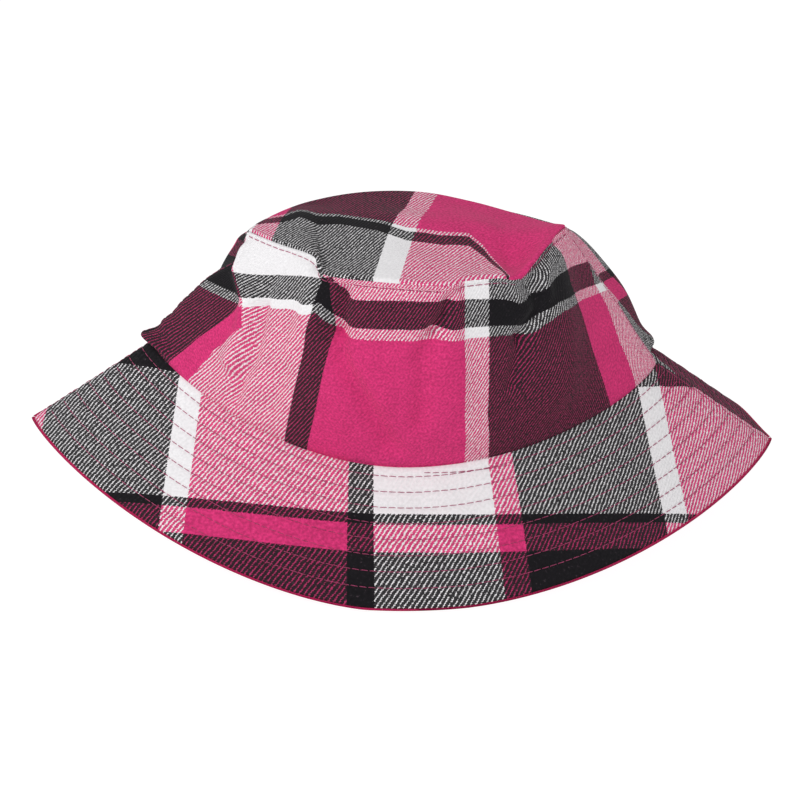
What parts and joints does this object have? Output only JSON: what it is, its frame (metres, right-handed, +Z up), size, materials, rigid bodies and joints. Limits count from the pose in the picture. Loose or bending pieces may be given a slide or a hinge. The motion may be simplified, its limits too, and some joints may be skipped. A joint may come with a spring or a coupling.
{
  "type": "bucket hat",
  "caption": "Soft plaid bucket hat with a flat crown tip, sloping side panels and a stiff stitched brim faced with plain lining, standing on its rim.",
  "frame": {"origin": "on the floor under the middle of the hat's bounding box, with the hat standing on the rim of its brim", "axes": "+X from the left side seam to the right side seam, -Y is the front, +Z up through the crown tip"},
  "size_m": [0.3522, 0.2355, 0.1302],
  "materials": {
    "plaid": "brushed twill check in pink, white and black",
    "plain_lining": "plain fuchsia cotton",
    "stiffening": "unbleached woven interfacing",
    "thread": "dark pink sewing thread"
  },
  "bodies": {
    "root": {"crown_tip": "plaid", "crown_side_front": "plaid", "crown_side_back": "plaid", "brim_top_front": "plaid", "brim_top_back": "plaid", "brim_stiffening_front": "stiffening", "brim_stiffening_back": "stiffening", "brim_under_front": "plain_lining", "brim_under_back": "plain_lining", "lining_tip": "plain_lining", "lining_side_front": "plain_lining", "lining_side_back": "plain_lining", "brim_stitch_row_1": "thread", "brim_stitch_row_2": "thread", "brim_stitch_row_3": "thread", "brim_stitch_row_4": "thread", "brim_stitch_row_5": "thread", "brim_stitch_row_6": "thread", "brim_stitch_row_7": "thread", "brim_stitch_row_8": "thread", "tip_topstitch": "thread", "crown_seam_stitch_left": "thread", "crown_seam_stitch_right": "thread", "brim_seam_stitch_left": "thread", "brim_seam_stitch_right": "thread"}
  },
  "joints": []
}
